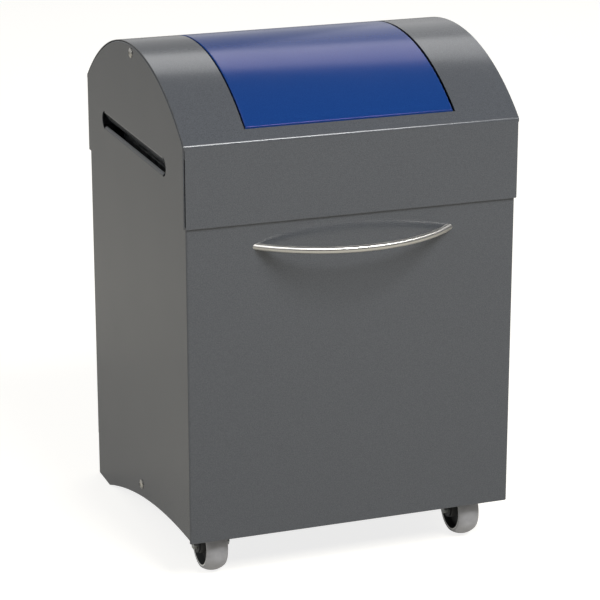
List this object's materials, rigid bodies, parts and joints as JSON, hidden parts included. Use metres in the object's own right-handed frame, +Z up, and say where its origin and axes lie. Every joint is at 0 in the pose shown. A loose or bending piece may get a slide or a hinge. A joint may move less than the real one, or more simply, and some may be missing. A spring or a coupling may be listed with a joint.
{
  "type": "recycling bin",
  "caption": "Square sheet-steel recycling bin with an arched lift-off hood, a swing flap in its top, a bow handle on the front and wheels under the front edge.",
  "frame": {"origin": "on the floor, under the middle of the overall box", "axes": "+Z up, -Y to the front where the handle is, +X to the right as seen from the front"},
  "size_m": [0.4916, 0.535, 0.7255],
  "materials": {
    "anthracite_coat": "fine semi-gloss powder coat",
    "blue_coat": "semi-gloss powder coat",
    "stainless": "satin",
    "zinc_plated": "zinc plated",
    "galvanised": "galvanised sheet",
    "grey_tyre": "matt",
    "wheel_plastic": "moulded",
    "bush_plastic": "moulded"
  },
  "bodies": {
    "cabinet": {"body_wrap": "anthracite_coat", "back_panel": "anthracite_coat", "floor_panel": "anthracite_coat", "floor_screws": "stainless", "floor_screw_nuts": "zinc_plated", "handle_bow": "stainless", "handle_screws": "zinc_plated", "handle_washers": "zinc_plated", "castor_screws": "zinc_plated", "castor_nuts": "zinc_plated", "left_wheel_bracket": "zinc_plated", "left_axle_bolt": "zinc_plated", "left_axle_nut": "zinc_plated", "left_bearing_sleeve": "zinc_plated", "right_wheel_bracket": "zinc_plated", "right_axle_bolt": "zinc_plated", "right_axle_nut": "zinc_plated", "right_bearing_sleeve": "zinc_plated"},
    "container": {"inner_container": "galvanised"},
    "hood": {"hood_cover": "anthracite_coat", "hood_left_side": "anthracite_coat", "hood_right_side": "anthracite_coat", "hood_left_ledge": "anthracite_coat", "hood_right_ledge": "anthracite_coat", "flap_axle": "stainless", "axle_end_screws": "stainless", "axle_collars": "zinc_plated"},
    "flap": {"flap_panel": "blue_coat", "flap_left_cheek": "blue_coat", "flap_right_cheek": "blue_coat", "flap_bushes": "bush_plastic"},
    "left_wheel": {"left_wheel_hub": "wheel_plastic", "left_wheel_tyre": "grey_tyre"},
    "right_wheel": {"right_wheel_hub": "wheel_plastic", "right_wheel_tyre": "grey_tyre"}
  },
  "joints": [
    {"name": "hood_lift", "type": "slide", "parent": "cabinet", "child": "hood", "axis": [0, 0, 1], "range_m": [0, 0.25]},
    {"name": "flap_swing", "type": "hinge", "parent": "hood", "child": "flap", "pos_m": [0, 0.029, 0.713], "axis": [1, 0, 0], "range_deg": [-60, 60]},
    {"name": "container_lift", "type": "slide", "parent": "cabinet", "child": "container", "axis": [0, 0, 1], "range_m": [0, 0.075]},
    {"name": "left_wheel_turn", "type": "hinge", "parent": "cabinet", "child": "left_wheel", "pos_m": [-0.1925, -0.1465, 0.04], "axis": [1, 0, 0], "continuous": true},
    {"name": "right_wheel_turn", "type": "hinge", "parent": "cabinet", "child": "right_wheel", "pos_m": [0.1925, -0.1465, 0.04], "axis": [1, 0, 0], "continuous": true}
  ]
}
